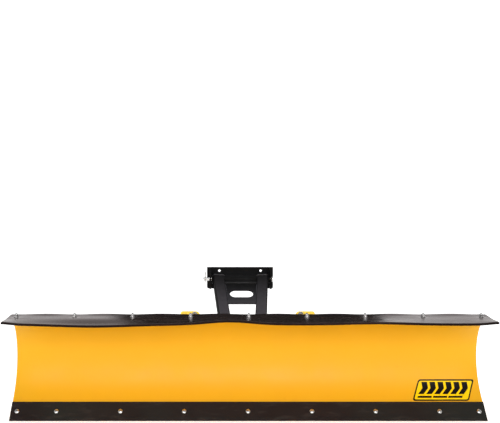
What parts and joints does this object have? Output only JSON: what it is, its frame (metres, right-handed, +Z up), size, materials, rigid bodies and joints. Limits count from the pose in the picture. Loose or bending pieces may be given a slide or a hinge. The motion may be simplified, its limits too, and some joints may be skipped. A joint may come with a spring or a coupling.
{
  "type": "snow plow blade with push frame",
  "caption": "Curved snow blade with a rubber deflector, wear bar, trip springs and skid shoes, on a push frame that lifts and swivels from a vehicle bracket.",
  "frame": {"origin": "middle of the cutting edge's flat foot, on the ground", "axes": "+X across the plow to the viewer's right in front of it, -Y the way it is driven, +Z up"},
  "size_m": [1.8288, 0.9373, 0.446],
  "materials": {
    "blade_paint": "satin powder coat",
    "frame_paint": "satin powder coat",
    "wear_bar_paint": "satin paint over steel",
    "flap_rubber": "matte",
    "zinc_fasteners": "bright zinc plate",
    "spring_steel": "zinc plate",
    "bush_bronze": "plain bearing bronze"
  },
  "bodies": {
    "vehicle_mount": {"mount_side_left": "frame_paint", "mount_side_right": "frame_paint", "mount_back_plate": "frame_paint", "hitch_pin": "zinc_fasteners", "hitch_clip": "zinc_fasteners"},
    "push_frame": {"push_tube_left": "frame_paint", "push_tube_right": "frame_paint", "pivot_plate_top": "frame_paint", "pivot_plate_bottom": "frame_paint", "pivot_barrel": "frame_paint", "gusset_plate": "frame_paint", "rear_cross_tube": "frame_paint", "cross_tube_bushes": "bush_bronze", "lock_bridge": "frame_paint", "lock_housing": "frame_paint", "lock_cap": "frame_paint", "lock_spring": "spring_steel", "lift_lug": "frame_paint"},
    "swivel": {"swivel_crossbar": "frame_paint", "swivel_plate": "frame_paint", "sector_plate": "frame_paint", "hinge_arm_left": "frame_paint", "hinge_arm_right": "frame_paint", "spring_arm_left": "frame_paint", "spring_arm_right": "frame_paint", "trip_spring_left": "spring_steel", "trip_spring_right": "spring_steel", "king_bolt": "zinc_fasteners", "king_nut": "zinc_fasteners", "king_washers": "zinc_fasteners"},
    "blade": {"backing_bar": "blade_paint", "deflector_flap": "flap_rubber", "end_ribs": "blade_paint", "flap_bolts": "zinc_fasteners", "flap_nuts": "zinc_fasteners", "flap_washers": "zinc_fasteners", "hinge_rib_inner_left": "blade_paint", "hinge_rib_inner_right": "blade_paint", "hinge_rib_outer_left": "blade_paint", "hinge_rib_outer_right": "blade_paint", "mid_ribs": "blade_paint", "moldboard": "blade_paint", "skid_bracket_left": "blade_paint", "skid_bracket_right": "blade_paint", "skid_set_bolts": "zinc_fasteners", "spring_eye_bolts": "zinc_fasteners", "spring_eye_nuts": "zinc_fasteners", "spring_tab_left": "blade_paint", "spring_tab_right": "blade_paint", "trip_pin_clips": "zinc_fasteners", "trip_pins": "zinc_fasteners", "wear_bar": "wear_bar_paint", "wear_bar_bolts": "zinc_fasteners", "wear_bar_nuts": "zinc_fasteners"},
    "angle_lock": {"lock_pin": "zinc_fasteners", "lock_handle": "zinc_fasteners"},
    "skid_left": {"skid_shoe_left": "frame_paint"},
    "skid_right": {"skid_shoe_right": "frame_paint"}
  },
  "joints": [
    {"name": "lift", "type": "hinge", "parent": "vehicle_mount", "child": "push_frame", "pos_m": [0, 0.755, 0.398], "axis": [-1, 0, 0], "range_deg": [0, 20]},
    {"name": "angle", "type": "hinge", "parent": "push_frame", "child": "swivel", "pos_m": [0, 0.285, 0.19], "axis": [0, 0, 1], "range_deg": [-27, 27]},
    {"name": "trip", "type": "hinge", "parent": "swivel", "child": "blade", "pos_m": [0, 0.16, 0.085], "axis": [1, 0, 0], "range_deg": [0, 28], "stiffness_Nm_per_rad": 360, "springref_deg": -17.76, "deforming": ["trip_spring_left", "trip_spring_right"]},
    {"name": "lock", "type": "slide", "parent": "push_frame", "child": "angle_lock", "axis": [0, 0, -1], "range_m": [0, 0.018], "deforming": ["lock_spring"]},
    {"name": "skid_height_left", "type": "slide", "parent": "blade", "child": "skid_left", "axis": [0, 0, 1], "range_m": [-0.02, 0.03]},
    {"name": "skid_height_right", "type": "slide", "parent": "blade", "child": "skid_right", "axis": [0, 0, 1], "range_m": [-0.02, 0.03]}
  ]
}
